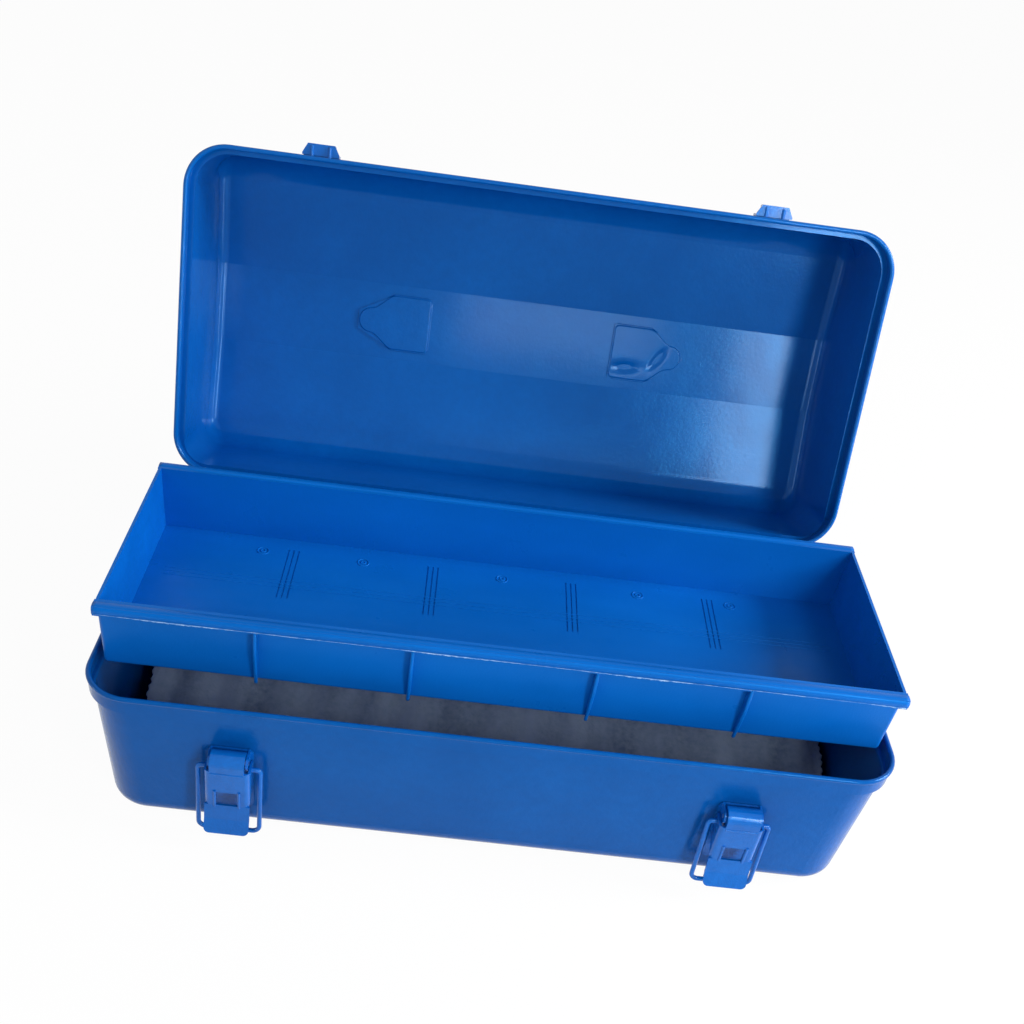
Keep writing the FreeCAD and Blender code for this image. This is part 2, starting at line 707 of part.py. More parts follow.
# keepers on the lid's front: a stepped strip whose turned-up nose holds the bail
def keeper(side, turn):
    body = part(f"keeper_{side}")
    profile = sketch(body, "strip", "YZ_Plane")
    outline(profile, [
        ("-keeper_back", "keeper_hook"), ("-keeper_back", "keeper_step"),
        ("-keeper_wall_back", "keeper_step"), ("-keeper_wall_back", "keeper_top"),
        ("-keeper_wall_front", "keeper_top"), ("-keeper_wall_front", "keeper_step + keeper_sheet"),
        ("-keeper_front", "keeper_step + keeper_sheet"), ("-keeper_front", "keeper_ledge"),
        ("-keeper_pocket_end", "keeper_ledge"), ("-keeper_pocket_end", "keeper_ledge + keeper_lip"),
        ("-keeper_nose", "keeper_ledge + keeper_lip"), ("-keeper_nose", "keeper_hook"),
    ])
    pad(body, "bent_strip", profile, "2 * keeper_half_width")
    for sign, name in (("-1", "a"), ("1", "b")):
        corner = sketch(body, f"nose_taper_{name}", "XY_Plane", "keeper_hook - side_gap")
        edge = f"{sign} * keeper_half_width"
        over = f"{sign} * (keeper_half_width + overrun)"
        outline(corner, [
            (edge, "-keeper_front"), (f"{sign} * (keeper_half_width - keeper_taper)", "-keeper_nose"),
            (f"{sign} * (keeper_half_width - keeper_taper)", "-keeper_nose - overrun"),
            (over, "-keeper_nose - overrun"), (over, "-keeper_front"),
        ])
        pad(body, f"taper_{name}", corner, "keeper_hook_height + keeper_lip + keeper_sheet",
            both=False, cut=True, back=True)
    place(body, f"{turn} * latch_x", "lid_move_y", "lid_move_z", "-open_angle")


for side, turn in SIDES:
    latch_base(side, turn)
    latch_pin(side, turn)
    latch_lever(side, turn)
    latch_bail(side, turn)
    keeper(side, turn)

# lift-out tray: a thin moulded trough with a turned-down flange front and back
tray = part("tray")
trough = trough_solid(
    tray, "trough", ("tray_x - tray_end_draft", "tray_x"), ("tray_y - tray_side_draft", "tray_y"),
    ("0", "tray_height"),
)
tall = size("tray_height / 2")
trough = soften(tray, "trough_corners", trough, lambda b: b.ZLength > tall, "tray_corner_radius")
trough = soften(tray, "trough_base", trough, lambda b: b.ZMax < tall, "tray_corner_radius")
trough_solid(
    tray, "trough_room",
    ("tray_x - tray_end_draft - tray_wall", "tray_x - tray_wall"),
    ("tray_y - tray_side_draft - tray_wall", "tray_y - tray_wall"),
    ("tray_floor", "tray_height"), cut=True,
)
for sign, name in (("-1", "front"), ("1", "back")):
    def span(low, high):
        return sorted((f"{sign} * ({low})", f"{sign} * ({high})"), key=size)
    ends = ("-tray_x - tray_ear", "tray_x + tray_ear")
    block(tray, f"flange_{name}", ends, span("tray_y - tray_lip_wall", "tray_top_y"),
          ("tray_height - tray_wall", "tray_height"))
    block(tray, f"lip_{name}", ends, span("tray_top_y - tray_lip_wall", "tray_top_y"),
          ("tray_height - tray_wall - tray_lip", "tray_height - tray_wall / 2"))
for number, place_x in enumerate(("-fin_outer_x", "-fin_inner_x", "fin_inner_x", "fin_outer_x")):
    fin_side = sketch(tray, f"fin_{number}_side", "YZ_Plane", place_x)
    outline(fin_side, [
        ("-tray_y + tray_wall / 2", "tray_height - tray_wall"),
        ("-tray_top_y + tray_lip_wall / 2", "tray_height - tray_wall"),
        ("-tray_top_y + tray_lip_wall / 2", "tray_height / 2"),
        ("-tray_y - fin_overhang", "tray_wall"),
        ("-tray_y + tray_side_draft + tray_wall / 2", "tray_wall"),
    ])
    pad(tray, f"fin_{number}", fin_side, "fin_thickness")
marks = sketch(tray, "floor_marks", "XY_Plane", "tray_floor")
for centre in ("-mark_outer_x", "-mark_inner_x", "mark_inner_x", "mark_outer_x"):
    for step in ("-1", "0", "1"):
        x = f"({centre} + {step} * mark_pitch)"
        left, right = f"{x} - mark_width / 2", f"{x} + mark_width / 2"
        outline(marks, [
            (left, "mark_front_y"), (right, "mark_front_y"),
            (right, "mark_back_y"), (left, "mark_back_y"),
        ])
pad(tray, "mould_marks", marks, "mark_depth", both=False, cut=True)
place(tray, "0", "-tray_forward", "tray_base")

# tray rests: an angle on the inside of each end wall
for side, turn in SIDES:
    rest = part(f"tray_rest_{side}")
    wall = f"{turn} * rest_x"
    angle = sketch(rest, "angle_side", "XZ_Plane", "tray_forward")
    outline(angle, [
        (wall, "tray_seat"), (f"{turn} * (rest_x - rest_reach)", "tray_seat"),
        (f"{turn} * (rest_x - rest_reach)", "tray_seat - rest_sheet"),
        (f"{turn} * (rest_x - rest_sheet)", "tray_seat - rest_sheet"),
        (f"{turn} * (rest_x - rest_sheet)", "tray_seat - rest_drop"),
        (f"{turn} * (rest_x)", "tray_seat - rest_drop"),
    ])
    pad(rest, "angle", angle, "rest_length")

# packing sheet sprung into a bow between the front and back walls
foam = part("foam_liner")
bow = sketch(foam, "bow", "YZ_Plane")
outline(bow, [
    ("foam_half", "foam_base", "foam_radius", 1), ("-foam_half", "foam_base"),
    ("-foam_under_half", "foam_base", "foam_under_radius", -1), ("foam_under_half", "foam_base"),
])
pad(foam, "sheet", bow, "2 * foam_end")

# handle: a plate with a curled eye in each recess, a bent rod and a grip;
# plates are drawn from the roof up, rod and grip about the rod's pivot line
for side, turn in SIDES:
    bracket = part(f"handle_bracket_{side}")
    plan = sketch(bracket, "plate_plan", "XY_Plane", "plate_base")
    inset = "2 * side_gap"
    near, bend_x, tip_x = (
        f"{turn} * (pad_inner_x + {inset})", f"{turn} * (pad_taper_x - {inset} / 2)",
        f"{turn} * (pad_tip_x - {inset})",
    )
    wide_y, thin_y = f"(pad_half_height - {inset})", f"(pad_tip_half - {inset} / 2)"
    outline(plan, [
        (near, f"-{wide_y}"), (bend_x, f"-{wide_y}"), (tip_x, f"-{thin_y}"),
        (tip_x, thin_y), (bend_x, wide_y), (near, wide_y),
    ])
    pad(bracket, "plate", plan, "bracket_thickness", both=False)
    low, high = sorted((f"{turn} * eye_inner_x", f"{turn} * eye_outer_x"), key=size)
    block(bracket, "eye_stem", (low, high), ("-eye_radius / 2", "eye_radius / 2"),
          ("plate_base + bracket_thickness / 2", "handle_axis_height"))
    rod(bracket, "eye", "0", "handle_axis_height", "eye_radius", low, high)
    rod(bracket, "rod_bore", "0", "handle_axis_height", "handle_rod_radius + pin_running",
        low, high, cut=True)
    place(bracket, "0", "lid_move_y + roof * sin(open_angle)",
          "lid_move_z + roof * cos(open_angle)", "-open_angle")


def handle_place(body):
    place(body, "0", "lid_move_y + handle_axis * sin(open_angle)",
          "lid_move_z + handle_axis * cos(open_angle)", "0")


handle = part("handle_rod")
path = sketch(handle, "rod_path", "XZ_Plane")
leg, drop, bend = "handle_leg_x", "handle_leg", "handle_bend_radius"
end = "(eye_outer_x + 2 * side_gap + handle_head)"
outline(path, [
    (f"-{end}", "0"), (f"-({leg} + {bend})", "0", bend, -1), (f"-{leg}", f"-{bend}"),
    (f"-{leg}", f"-({drop} - {bend})", bend, 1), (f"-({leg} - {bend})", f"-{drop}"),
    (f"{leg} - {bend}", f"-{drop}", bend, 1), (leg, f"-({drop} - {bend})"),
    (leg, f"-{bend}", bend, -1), (f"{leg} + {bend}", "0"), (end, "0"),
], closed=False)
section = sketch(handle, "rod_section", "YZ_Plane", f"-{end}")
circle(section, "0", "0", "handle_rod_radius")
doc.recompute()
pipe(handle, "rod", path, section)
for sign, name in (("-1", "a"), ("1", "b")):
    low, high = sorted((f"{sign} * {end}", f"{sign} * ({end} - handle_head)"), key=size)
    rod(handle, f"head_{name}", "0", "0", "handle_head_radius", low, high)
handle_place(handle)

grip = part("handle_grip")
rod(grip, "tube", "0", "-handle_leg", "grip_radius", "-grip_half_length", "grip_half_length")
soften(grip, "tube_ends", grip.Tip, lambda b: b.XLength < tiny, "grip_end_radius")
rod(grip, "bore", "0", "-handle_leg", "handle_rod_radius + pin_seat",
    "-grip_half_length", "grip_half_length", cut=True)
handle_place(grip)

# every sub-part is checked, then written under its label
doc.recompute()
for item in doc.Objects:
    if {"Invalid", "Error"} & set(item.State):
        raise ValueError(f"{item.Label} is not sound")
os.makedirs("parts", exist_ok=True)
for body in doc.findObjects("PartDesign::Body"):
    if body.Label.startswith(("lid_hollow", "lid_shell_")):
        continue
    if body.Shape.isNull() or not body.Shape.isValid() or not body.Shape.Solids:
        raise ValueError(f"{body.Label} has no sound shape")
    body.Shape.exportStep(f"parts/{body.Label}.step")
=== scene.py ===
import json
import math

import bmesh
import bpy
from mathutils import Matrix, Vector, noise


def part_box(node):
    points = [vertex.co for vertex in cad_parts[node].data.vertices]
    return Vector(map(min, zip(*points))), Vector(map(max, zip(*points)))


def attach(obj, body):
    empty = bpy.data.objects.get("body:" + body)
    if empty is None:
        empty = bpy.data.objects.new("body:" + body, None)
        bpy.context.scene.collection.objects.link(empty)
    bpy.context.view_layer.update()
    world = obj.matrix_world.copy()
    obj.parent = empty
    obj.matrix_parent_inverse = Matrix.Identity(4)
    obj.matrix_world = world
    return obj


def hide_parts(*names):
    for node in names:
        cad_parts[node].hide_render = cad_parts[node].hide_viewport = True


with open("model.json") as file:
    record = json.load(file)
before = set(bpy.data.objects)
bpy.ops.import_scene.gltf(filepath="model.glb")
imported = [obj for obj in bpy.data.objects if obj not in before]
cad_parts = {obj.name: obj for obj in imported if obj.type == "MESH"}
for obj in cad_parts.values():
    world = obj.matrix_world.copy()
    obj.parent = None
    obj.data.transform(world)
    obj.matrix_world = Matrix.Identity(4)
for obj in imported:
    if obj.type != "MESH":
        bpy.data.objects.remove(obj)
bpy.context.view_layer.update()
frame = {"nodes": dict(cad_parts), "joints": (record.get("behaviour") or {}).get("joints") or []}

# The camera stands before the open box and above it, a little left of its middle, and looks down into the tray.
# Its place, turn and lens were fitted to the corners of the rim, lid and tray in the photograph.
camera_data = bpy.data.cameras.new("camera")
camera_data.sensor_width = 36
camera_data.lens = 40.62
camera_data.shift_x = 0.0302
camera_data.shift_y = 0.0808
camera_data.clip_start = 0.01
camera = bpy.data.objects.new("camera", camera_data)
camera.location = (-0.0446, -0.5187, 0.5099)
camera.rotation_euler = [math.radians(angle) for angle in (51.771, -6.991, 2.017)]
bpy.context.scene.collection.objects.link(camera)
bpy.context.scene.camera = camera

# The studio: one pale seamless floor under a white surround, which camera and gloss see as plain white.
# A strong lamp stands on the right and a weak one on the left, two panels in front give the lid its pale
# reflections, and a narrow strip at each side draws the bright lines along its rounded ends.
bpy.context.scene.view_settings.view_transform = "Standard"


def add_node(tree, kind, inputs=None, family="ShaderNode", **settings):
    """Adds a node, sets it, and gives its inputs numbers, colours or other nodes' outputs."""
    node = tree.nodes.new(family + kind)
    for key, value in settings.items():
        setattr(node, key, value)
    for key, value in (inputs or {}).items():
        if isinstance(value, bpy.types.NodeSocket):
            tree.links.new(value, node.inputs[key])
        else:
            node.inputs[key].default_value = value
    return node


def seen_directly(tree):
    """1 for camera, glossy and transmission rays, and 0 for the light that falls on the object."""
    path = add_node(tree, "LightPath")
    seen = add_node(tree, "Math", {0: path.outputs["Is Camera Ray"], 1: path.outputs["Is Glossy Ray"]},
                    operation="MAXIMUM")
    return add_node(tree, "Math", {0: seen.outputs[0], 1: path.outputs["Is Transmission Ray"]},
                    operation="MAXIMUM").outputs[0]


surround = bpy.data.worlds.new("surround")
surround.use_nodes = True
surround_tree = surround.node_tree
strength = add_node(surround_tree, "MapRange", {"Value": seen_directly(surround_tree), "To Min": 0.30, "To Max": 1.0})
surround_tree.nodes["Background"].inputs["Color"].default_value = (1, 1, 1, 1)
surround_tree.links.new(strength.outputs[0], surround_tree.nodes["Background"].inputs["Strength"])
bpy.context.scene.world = surround

FLOOR_REACH = 4
FLOOR_LEVEL = -0.0003
floor_mesh = bpy.data.meshes.new("floor")
floor_corners = ((-FLOOR_REACH, -FLOOR_REACH), (FLOOR_REACH, -FLOOR_REACH), (FLOOR_REACH, FLOOR_REACH),
                 (-FLOOR_REACH, FLOOR_REACH))
floor_mesh.from_pydata([(x, y, FLOOR_LEVEL) for x, y in floor_corners], [], [(0, 1, 2, 3)])
floor = bpy.data.objects.new("floor", floor_mesh)
bpy.context.scene.collection.objects.link(floor)
floor_paper = bpy.data.materials.new("floor_paper")
floor_paper.use_nodes = True
paper_tree = floor_paper.node_tree
paper = paper_tree.nodes["Principled BSDF"]
paper.inputs["Base Color"].default_value = (0.86, 0.86, 0.86, 1)
paper.inputs["Roughness"].default_value = 0.9
paper.inputs["Specular IOR Level"].default_value = 0.0
paper_glow = add_node(paper_tree, "Emission", {"Color": (1, 1, 1, 1), "Strength": 1.0})
paper_share = add_node(paper_tree, "Math", {0: seen_directly(paper_tree), 1: 0.96}, operation="MULTIPLY")
paper_mix = add_node(paper_tree, "MixShader",
                     {0: paper_share.outputs[0], 1: paper.outputs[0], 2: paper_glow.outputs[0]})
paper_tree.links.new(paper_mix.outputs[0], paper_tree.nodes["Material Output"].inputs["Surface"])
floor_mesh.materials.append(floor_paper)

for name, place, aim, width, height, watts in (
        ("lamp_right", (1.35, -0.05, 0.85), (0, 0, 0.1), 0.5, 0.5, 25.0),
        ("lamp_left", (-1.0, -0.9, 1.1), (0, 0, 0.1), 0.8, 0.8, 2.2),
        ("panel_right", (0.53, -0.90, 0.58), (0.19, 0.22, 0.15), 0.20, 0.55, 6.5),
        ("panel_middle", (0.13, -0.98, 0.45), (0.02, 0.22, 0.18), 0.34, 0.12, 0.9),
        ("strip_right", (1.15, -0.24, 0.16), (-0.2, 0.19, 0.14), 0.05, 0.30, 2.2),
        ("strip_left", (-1.15, -0.24, 0.22), (0.2, 0.19, 0.14), 0.04, 0.30, 1.2)):
    lamp_data = bpy.data.lights.new(name, "AREA")
    lamp_data.shape = "RECTANGLE"
    lamp_data.size = width
    lamp_data.size_y = height
    lamp_data.energy = watts
    lamp = bpy.data.objects.new(name, lamp_data)
    lamp.location = place
    lamp.rotation_euler = (Vector(aim) - Vector(place)).to_track_quat("-Z", "Y").to_euler()
    bpy.context.scene.collection.objects.link(lamp)

# The box is drawn from sheet steel and stove-enamelled a strong blue, inside and out, with its rim rolled over a wire.
# The enamel is glossy with a faint orange peel, thin at the lower edges, where a little grey steel is rubbed bare.


def new_finish(name):
    """A new material, its node tree, its shader and the object's own coordinates."""
    finish = bpy.data.materials.new(name)
    finish.use_nodes = True
    tree = finish.node_tree
    return finish, tree, tree.nodes["Principled BSDF"], add_node(tree, "TexCoord").outputs["Object"]


def mottle(tree, place, scale, detail=3.0, low=0.0, high=1.0):
    """Soft noise at a scale in spots to the metre, spread from low to high."""
    grain = add_node(tree, "TexNoise", {"Vector": place, "Scale": scale, "Detail": detail, "Roughness": 0.55})
    return add_node(tree, "MapRange", {"Value": grain.outputs["Fac"], "From Min": 0.3, "From Max": 0.7,
                                       "To Min": low, "To Max": high}).outputs[0]


def two_colours(tree, share, first, second):
    """Mixes two colours, or the output of an earlier mix, by a share from 0 to 1."""
    mix = add_node(tree, "Mix", {0: share, 6: first, 7: second}, data_type="RGBA")
    return mix.outputs[2]


def blue_enamel(name, deep, pale, peel, rubbed_below=None, clear=0.16):
    """Glossy stoved enamel: colour drifts slowly, gloss varies with handling, and the skin has orange peel.

    It may be rubbed to grey steel below a height, and has a share of clear gloss on top.
    """
    finish, tree, shader, place = new_finish(name)
    colour = two_colours(tree, mottle(tree, place, 14, 2), deep, pale)
    shade = tuple(part * 0.86 for part in deep[:3]) + (1,)
    colour = two_colours(tree, mottle(tree, place, 190, 3, 0.0, 0.35), colour, shade)
    gloss = mottle(tree, place, 30, 4, 0.13, 0.23)
    if rubbed_below is not None:
        height = add_node(tree, "SeparateXYZ", {0: place}).outputs[2]
        near_edge = add_node(tree, "MapRange",
                             {"Value": height, "From Min": rubbed_below, "From Max": rubbed_below * 0.3,
                              "To Min": 0.0, "To Max": 1.0}).outputs[0]
        rub = add_node(tree, "Math", {0: near_edge, 1: mottle(tree, place, 260, 5, -0.9, 0.9)}, operation="MULTIPLY")
        rub = add_node(tree, "Clamp", {0: rub.outputs[0]})
        colour = two_colours(tree, rub.outputs[0], colour, (0.20, 0.24, 0.29, 1))
    tree.links.new(colour, shader.inputs["Base Color"])
    tree.links.new(gloss, shader.inputs["Roughness"])
    skin = add_node(tree, "Bump", {"Height": mottle(tree, place, 420, 2), "Strength": peel, "Distance": 0.0004})
    waves = add_node(tree, "Bump", {"Height": mottle(tree, place, 16, 2), "Strength": 0.25, "Distance": 0.0015,
                                    "Normal": skin.outputs[0]})
    tree.links.new(waves.outputs[0], shader.inputs["Normal"])
    shader.inputs["Specular IOR Level"].default_value = 0.32
    shader.inputs["Specular Tint"].default_value = (0.05, 0.46, 1.0, 1)
    shader.inputs["Coat Weight"].default_value = clear
    shader.inputs["Coat Roughness"].default_value = 0.13
    return finish


def coat(finish, *names):
    """Gives solids of the model a finish."""
    for name in names:
        for slot in frame["nodes"][name].material_slots:
            slot.material = finish


# The box's copy of the enamel is mixed darker than the lid's, as painted shade on its walls.
box_enamel_with_painted_shade = blue_enamel("box_enamel_with_painted_shade", (0.0010, 0.070, 0.30, 1), (0.0014, 0.088, 0.36, 1), 0.16,
                         rubbed_below=0.006, clear=0.05)
coat(box_enamel_with_painted_shade, "box_body", "tray_rest_left", "tray_rest_right")

# A sheet of grey packing foam, as it came from the maker, is bowed up between the front and back walls under the tray.
# It is about 4 mm of foamed polyethylene, cut with a scalloped edge at both ends and slack enough to ripple.
FOAM_HALF_LENGTH = 0.1945
FOAM_HALF_SPAN = 0.0856
FOAM_BASE = 0.0015
FOAM_RISE = 0.0375
FOAM_SKIN = 0.0036
FOAM_COLUMNS = 260
FOAM_ROWS = 120
FOAM_SCALLOP, FOAM_SCALLOP_DEPTH = 0.0052, 0.0016
FOAM_TORN, FOAM_RIPPLE = 0.0010, 0.0012
FOAM_SPARE_LEFT, FOAM_SPARE_RIGHT = 0.0050, 0.0095
foam_radius = (FOAM_HALF_SPAN ** 2 + FOAM_RISE ** 2) / (2 * FOAM_RISE)
foam_centre = FOAM_BASE + FOAM_RISE - foam_radius
foam_reach = math.acos((FOAM_BASE - foam_centre) / (foam_radius - FOAM_SKIN))
foam_points = []
for column in range(FOAM_COLUMNS + 1):
    along = column / FOAM_COLUMNS * 2 - 1
    for row in range(FOAM_ROWS + 1):
        angle = (row / FOAM_ROWS * 2 - 1) * foam_reach
        scallop = abs(math.sin(angle * foam_radius / FOAM_SCALLOP * math.pi))
        torn = scallop * FOAM_SCALLOP_DEPTH + FOAM_TORN * noise.noise(Vector((along * 3, angle * 14, 2.5)))
        spare = (FOAM_SPARE_RIGHT if along > 0 else FOAM_SPARE_LEFT) * (1 - (abs(angle) / foam_reach) ** 3)
        x = along * (FOAM_HALF_LENGTH + spare) - math.copysign(abs(along) ** 40 * max(0.0, 0.0012 + torn), along)
        free = 1 - (abs(angle) / foam_reach) ** 6
        ripple = FOAM_RIPPLE * math.sin(x * 250 + 2.4 * noise.noise(Vector((x * 9, angle * 2, 0))))
        ripple += 0.0016 * noise.noise(Vector((x * 22, angle * 4, 4)))
        radius = foam_radius - FOAM_SKIN / 2 + (ripple - FOAM_RIPPLE) * free
        foam_points.append((x, radius * math.sin(angle), foam_centre + radius * math.cos(angle)))
foam_faces = []
for column in range(FOAM_COLUMNS):
    for row in range(FOAM_ROWS):
        first = column * (FOAM_ROWS + 1) + row
        foam_faces.append((first, first + FOAM_ROWS + 1, first + FOAM_ROWS + 2, first + 1))
foam_mesh = bpy.data.meshes.new("packing_sheet")
foam_mesh.from_pydata(foam_points, [], foam_faces)
foam = bpy.data.objects.new("packing_sheet", foam_mesh)
bpy.context.scene.collection.objects.link(foam)
foam_wall = foam.modifiers.new("wall", "SOLIDIFY")
foam_wall.thickness = FOAM_SKIN
foam_wall.offset = 0
foam.data = bpy.data.meshes.new_from_object(foam.evaluated_get(bpy.context.evaluated_depsgraph_get()))
foam.modifiers.clear()
foam.data.shade_smooth()

foam_finish, tree, shader, place = new_finish("packing_foam_with_painted_bounce")
cells = add_node(tree, "TexVoronoi", {"Vector": place, "Scale": 620.0}, feature="SMOOTH_F1")
bands = add_node(tree, "Mapping", {"Vector": place, "Scale": (1.0, 0.15, 0.15)}).outputs[0]
# The foam itself is pale grey; the blue cast mixed into these colours is painted bounce light from the blue box around
# it.
foam_tone_and_painted_bounce = two_colours(tree, mottle(tree, bands, 60, 3), (0.17, 0.25, 0.38, 1), (0.37, 0.49, 0.66, 1))
foam_tone_and_painted_bounce = two_colours(tree, mottle(tree, place, 260, 3, 0.0, 0.5), foam_tone_and_painted_bounce, (0.46, 0.56, 0.70, 1))
tree.links.new(foam_tone_and_painted_bounce, shader.inputs["Base Color"])
tree.links.new(mottle(tree, place, 120, 2, 0.55, 0.8), shader.inputs["Roughness"])
pores = add_node(tree, "Bump", {"Height": cells.outputs["Distance"], "Strength": 0.5, "Distance": 0.0006})
tree.links.new(pores.outputs[0], shader.inputs["Normal"])
shader.inputs["Specular IOR Level"].default_value = 0.35
shader.inputs["Sheen Weight"].default_value = 0.1
foam.data.materials.append(foam_finish)
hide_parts("foam_liner")
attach(foam, "box")

# The lift-out tray is moulded in one piece from a bright blue plastic, thin in the wall and glossy from the mould.
# It has pressed lines across its floor, four short fins on its front and a ragged edge of flash along its lip.
tray_plastic, tree, shader, place = new_finish("tray_plastic")
flow = add_node(tree, "Mapping", {"Vector": place, "Scale": (0.35, 1.0, 1.0)}).outputs[0]
colour = two_colours(tree, mottle(tree, flow, 18, 3), (0.0009, 0.098, 0.42, 1), (0.0016, 0.126, 0.52, 1))
tree.links.new(colour, shader.inputs["Base Color"])
tree.links.new(mottle(tree, place, 45, 4, 0.26, 0.42), shader.inputs["Roughness"])
grain = add_node(tree, "Bump", {"Height": mottle(tree, place, 900, 2), "Strength": 0.12, "Distance": 0.0003})
warp = add_node(tree, "Bump", {"Height": mottle(tree, flow, 22, 2), "Strength": 0.35, "Distance": 0.0015,
                               "Normal": grain.outputs[0]})
tree.links.new(warp.outputs[0], shader.inputs["Normal"])
shader.inputs["Specular IOR Level"].default_value = 0.36
shader.inputs["Specular Tint"].default_value = (0.10, 0.56, 1.0, 1)
coat(tray_plastic, "tray")
tray_low, tray_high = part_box("tray")


def new_piece(name, points, faces, finish, body, slot):
    """A finished piece from its points and faces, which rides on a body."""
    mesh = bpy.data.meshes.new(name)
    mesh.from_pydata(points, [], faces)
    piece = bpy.data.objects.new(name, mesh)
    bpy.context.scene.collection.objects.link(piece)
    skin = bmesh.new()
    skin.from_mesh(mesh)
    bmesh.ops.remove_doubles(skin, verts=skin.verts, dist=0.000002)
    bmesh.ops.recalc_face_normals(skin, faces=skin.faces)
    skin.to_mesh(mesh)
    skin.free()
    mesh.shade_smooth()
    mesh.materials.append(finish)
    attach(piece, body)
    return piece


def swept(stations, profile_at):
    """Points and faces of a closed profile carried through its stations, with both ends closed."""
    rings = [profile_at(station) for station in stations]
    around = len(rings[0])
    points = [point for ring in rings for point in ring]
    faces = []
    for start in range(0, len(points) - around, around):
        for k in range(around):
            after = (k + 1) % around
            faces.append((start + k, start + after, start + around + after, start + around + k))
    faces.append(tuple(range(around)))
    faces.append(tuple(range(len(points) - around, len(points))))
    return points, faces


# The tray's front and back lips are moulded with it and turned outwards, for fingers to lift it by.
# They are rounded over on top and wander a little, as thin mouldings do when they cool.
LIP_REACH, LIP_INSIDE = 0.0006, 0.0047
LIP_ROUND, LIP_DROP = 0.0022, 0.0045
LIP_WANDER, LIP_WAVE = 0.00025, 0.0003
for name, edge, outward in (("tray_lip_front", tray_low.y, -1), ("tray_lip_back", tray_high.y, 1)):

    def lip_ring(x, edge=edge, outward=outward):
        front = edge + outward * (LIP_REACH + LIP_WANDER * noise.noise(Vector((x * 14, 0, outward))))
        top = tray_high.z + LIP_WAVE + LIP_WAVE * noise.noise(Vector((x * 9, 3, outward)))
        inner = edge - outward * LIP_INSIDE
        ring = [(x, inner, top - 0.0016), (x, inner, top - 0.0006), (x, inner + outward * 0.0008, top)]
        for step in range(7):
            turn = step / 6 * math.pi / 2
            ring.append((x, front - outward * LIP_ROUND * (1 - math.sin(turn)),
                         top - LIP_ROUND * (1 - math.cos(turn))))
        low = tray_high.z - LIP_DROP
        return ring + [(x, front, low + 0.0003), (x, front - outward * 0.0004, low),
                       (x, front - outward * 0.0018, low)]

    stations = [tray_low.x + (tray_high.x - tray_low.x) * k / 200 for k in range(201)]
    new_piece(name, *swept(stations, lip_ring), tray_plastic, "tray", "tray_plastic")

# Four upright fins are moulded on the tray's front and stiffen its thin wall.
# Each ends in a rounded bead, which runs from under the lip and then leans in to the tray's foot.
FIN_BEAD, FIN_TOP, FIN_KNEE, FIN_FRONT, FIN_LEAN = 0.0010, 0.0040, 0.0210, 0.0008, 0.0047
for name, x in (("fin_far_left", -0.1275), ("fin_left", -0.0475), ("fin_right", 0.0475), ("fin_far_right", 0.1275)):
    line = [(tray_low.y + FIN_FRONT, tray_high.z - FIN_TOP), (tray_low.y + FIN_FRONT, tray_high.z - FIN_KNEE),
            (tray_low.y + 0.0044, tray_low.z + 0.0004), (tray_low.y + FIN_LEAN, tray_low.z - FIN_BEAD)]

    def fin_ring(place_on_line, x=x):
        y, z = place_on_line
        turns = [k * math.pi / 6 for k in range(12)]
        return [(x + FIN_BEAD * math.sin(turn), y - FIN_BEAD * math.cos(turn), z) for turn in turns]

    new_piece(name, *swept(line, fin_ring), tray_plastic, "tray", "tray_plastic")

# Where the two halves of the mould met, a thin film of the tray's plastic is left along the front lip's lower edge.
# It is ragged, whitish where it was bent, and torn off in places.
flash_plastic, tree, shader, place = new_finish("flash_plastic")
tree.links.new(two_colours(tree, mottle(tree, place, 300, 3), (0.03, 0.20, 0.56, 1), (0.42, 0.62, 0.84, 1)),
               shader.inputs["Base Color"])
tree.links.new(mottle(tree, place, 500, 3, 0.3, 0.5), shader.inputs["Roughness"])
FLASH_LEAST, FLASH_MOST, FLASH_STATIONS = 0.00003, 0.00085, 1400


def flash_ring(x):
    patch = 0.25 + 1.5 * noise.noise(Vector((x * 21, 5, 1)))
    shred = 0.5 + 0.8 * noise.noise(Vector((x * 420, 1, 9))) + 0.4 * noise.noise(Vector((x * 1300, 2, 4)))
    hang = FLASH_LEAST + FLASH_MOST * max(0.0, min(1.0, patch)) * max(0.0, shred)
    y, z = tray_low.y - LIP_REACH, tray_high.z - LIP_DROP + 0.0002
    return [(x, y - 0.00022, z), (x, y - 0.00022 - 0.3 * hang, z - hang), (x, y + 0.0001 - 0.3 * hang, z - hang),
            (x, y + 0.0002, z)]


stations = [tray_low.x + 0.001 + (tray_high.x - tray_low.x - 0.002) * k / FLASH_STATIONS
            for k in range(FLASH_STATIONS + 1)]
new_piece("tray_flash", *swept(stations, flash_ring), flash_plastic, "tray", "tray_plastic")

# Three fine ribs are moulded along the tray's floor, and five round marks show where the ejector pins pushed it from
# the mould. One tree draws a raised ring at each mark, and another the ribs side by side.
TRAY_FLOOR = tray_low.z + 0.0020
MARK_ROW, RIB_ROW, RIB_PITCH, RIB_HALF_LENGTH = 0.037, 0.0045, 0.0032, 0.196


def geometry_tree(name, inputs):
    """An empty Geometry Nodes tree with named inputs, and its input and output nodes."""
    tree = bpy.data.node_groups.new(name, "GeometryNodeTree")
    tree.interface.new_socket("Geometry", in_out="OUTPUT", socket_type="NodeSocketGeometry")
    for label, kind in inputs.items():
        tree.interface.new_socket(label, in_out="INPUT", socket_type=kind)
    return tree, tree.nodes.new("NodeGroupInput"), tree.nodes.new("NodeGroupOutput")


def add_part(tree, kind, inputs):
    """Adds a Geometry Nodes node, and gives its inputs values or other nodes' outputs."""
    return add_node(tree, kind, inputs, family="GeometryNode")


